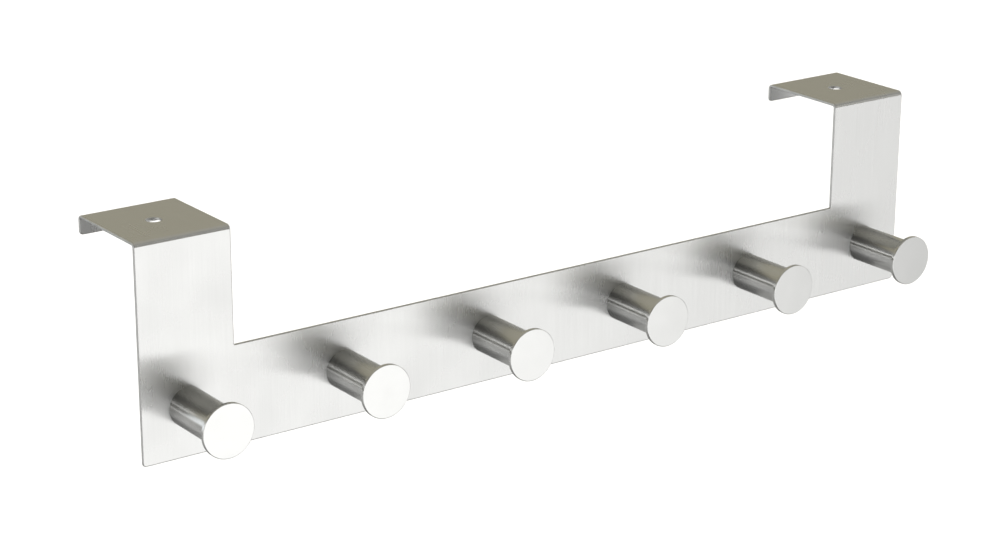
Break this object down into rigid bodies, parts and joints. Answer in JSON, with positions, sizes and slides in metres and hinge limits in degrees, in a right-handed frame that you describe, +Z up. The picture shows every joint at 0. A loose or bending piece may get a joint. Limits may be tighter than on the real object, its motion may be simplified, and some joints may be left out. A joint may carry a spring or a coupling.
{
  "type": "over-the-door hook rack",
  "caption": "Folded steel rail that hangs over the top of a door, with a row of turned pegs that have disc heads to hold coats and bags.",
  "frame": {"origin": "midway between the two tab holes, on the undersides of the tabs, where the middle of the door's top edge sits", "axes": "+X along the rail towards the viewer's right, -Y towards the front, where the pegs stand, +Z up"},
  "size_m": [0.39, 0.0754, 0.089],
  "materials": {
    "sheet_steel": "fine vertical brushed grain",
    "turned_steel": "satin, fine turned rings",
    "screw_steel": "bright zinc plated",
    "foam": "matt closed-cell foam"
  },
  "bodies": {
    "root": {"rail": "sheet_steel", "peg_1": "turned_steel", "peg_2": "turned_steel", "peg_3": "turned_steel", "peg_4": "turned_steel", "peg_5": "turned_steel", "peg_6": "turned_steel", "peg_screw_1": "screw_steel", "peg_screw_2": "screw_steel", "peg_screw_3": "screw_steel", "peg_screw_4": "screw_steel", "peg_screw_5": "screw_steel", "peg_screw_6": "screw_steel", "pad_upright_left": "foam", "pad_upright_right": "foam", "pad_rail_left": "foam", "pad_rail_right": "foam"}
  },
  "joints": []
}
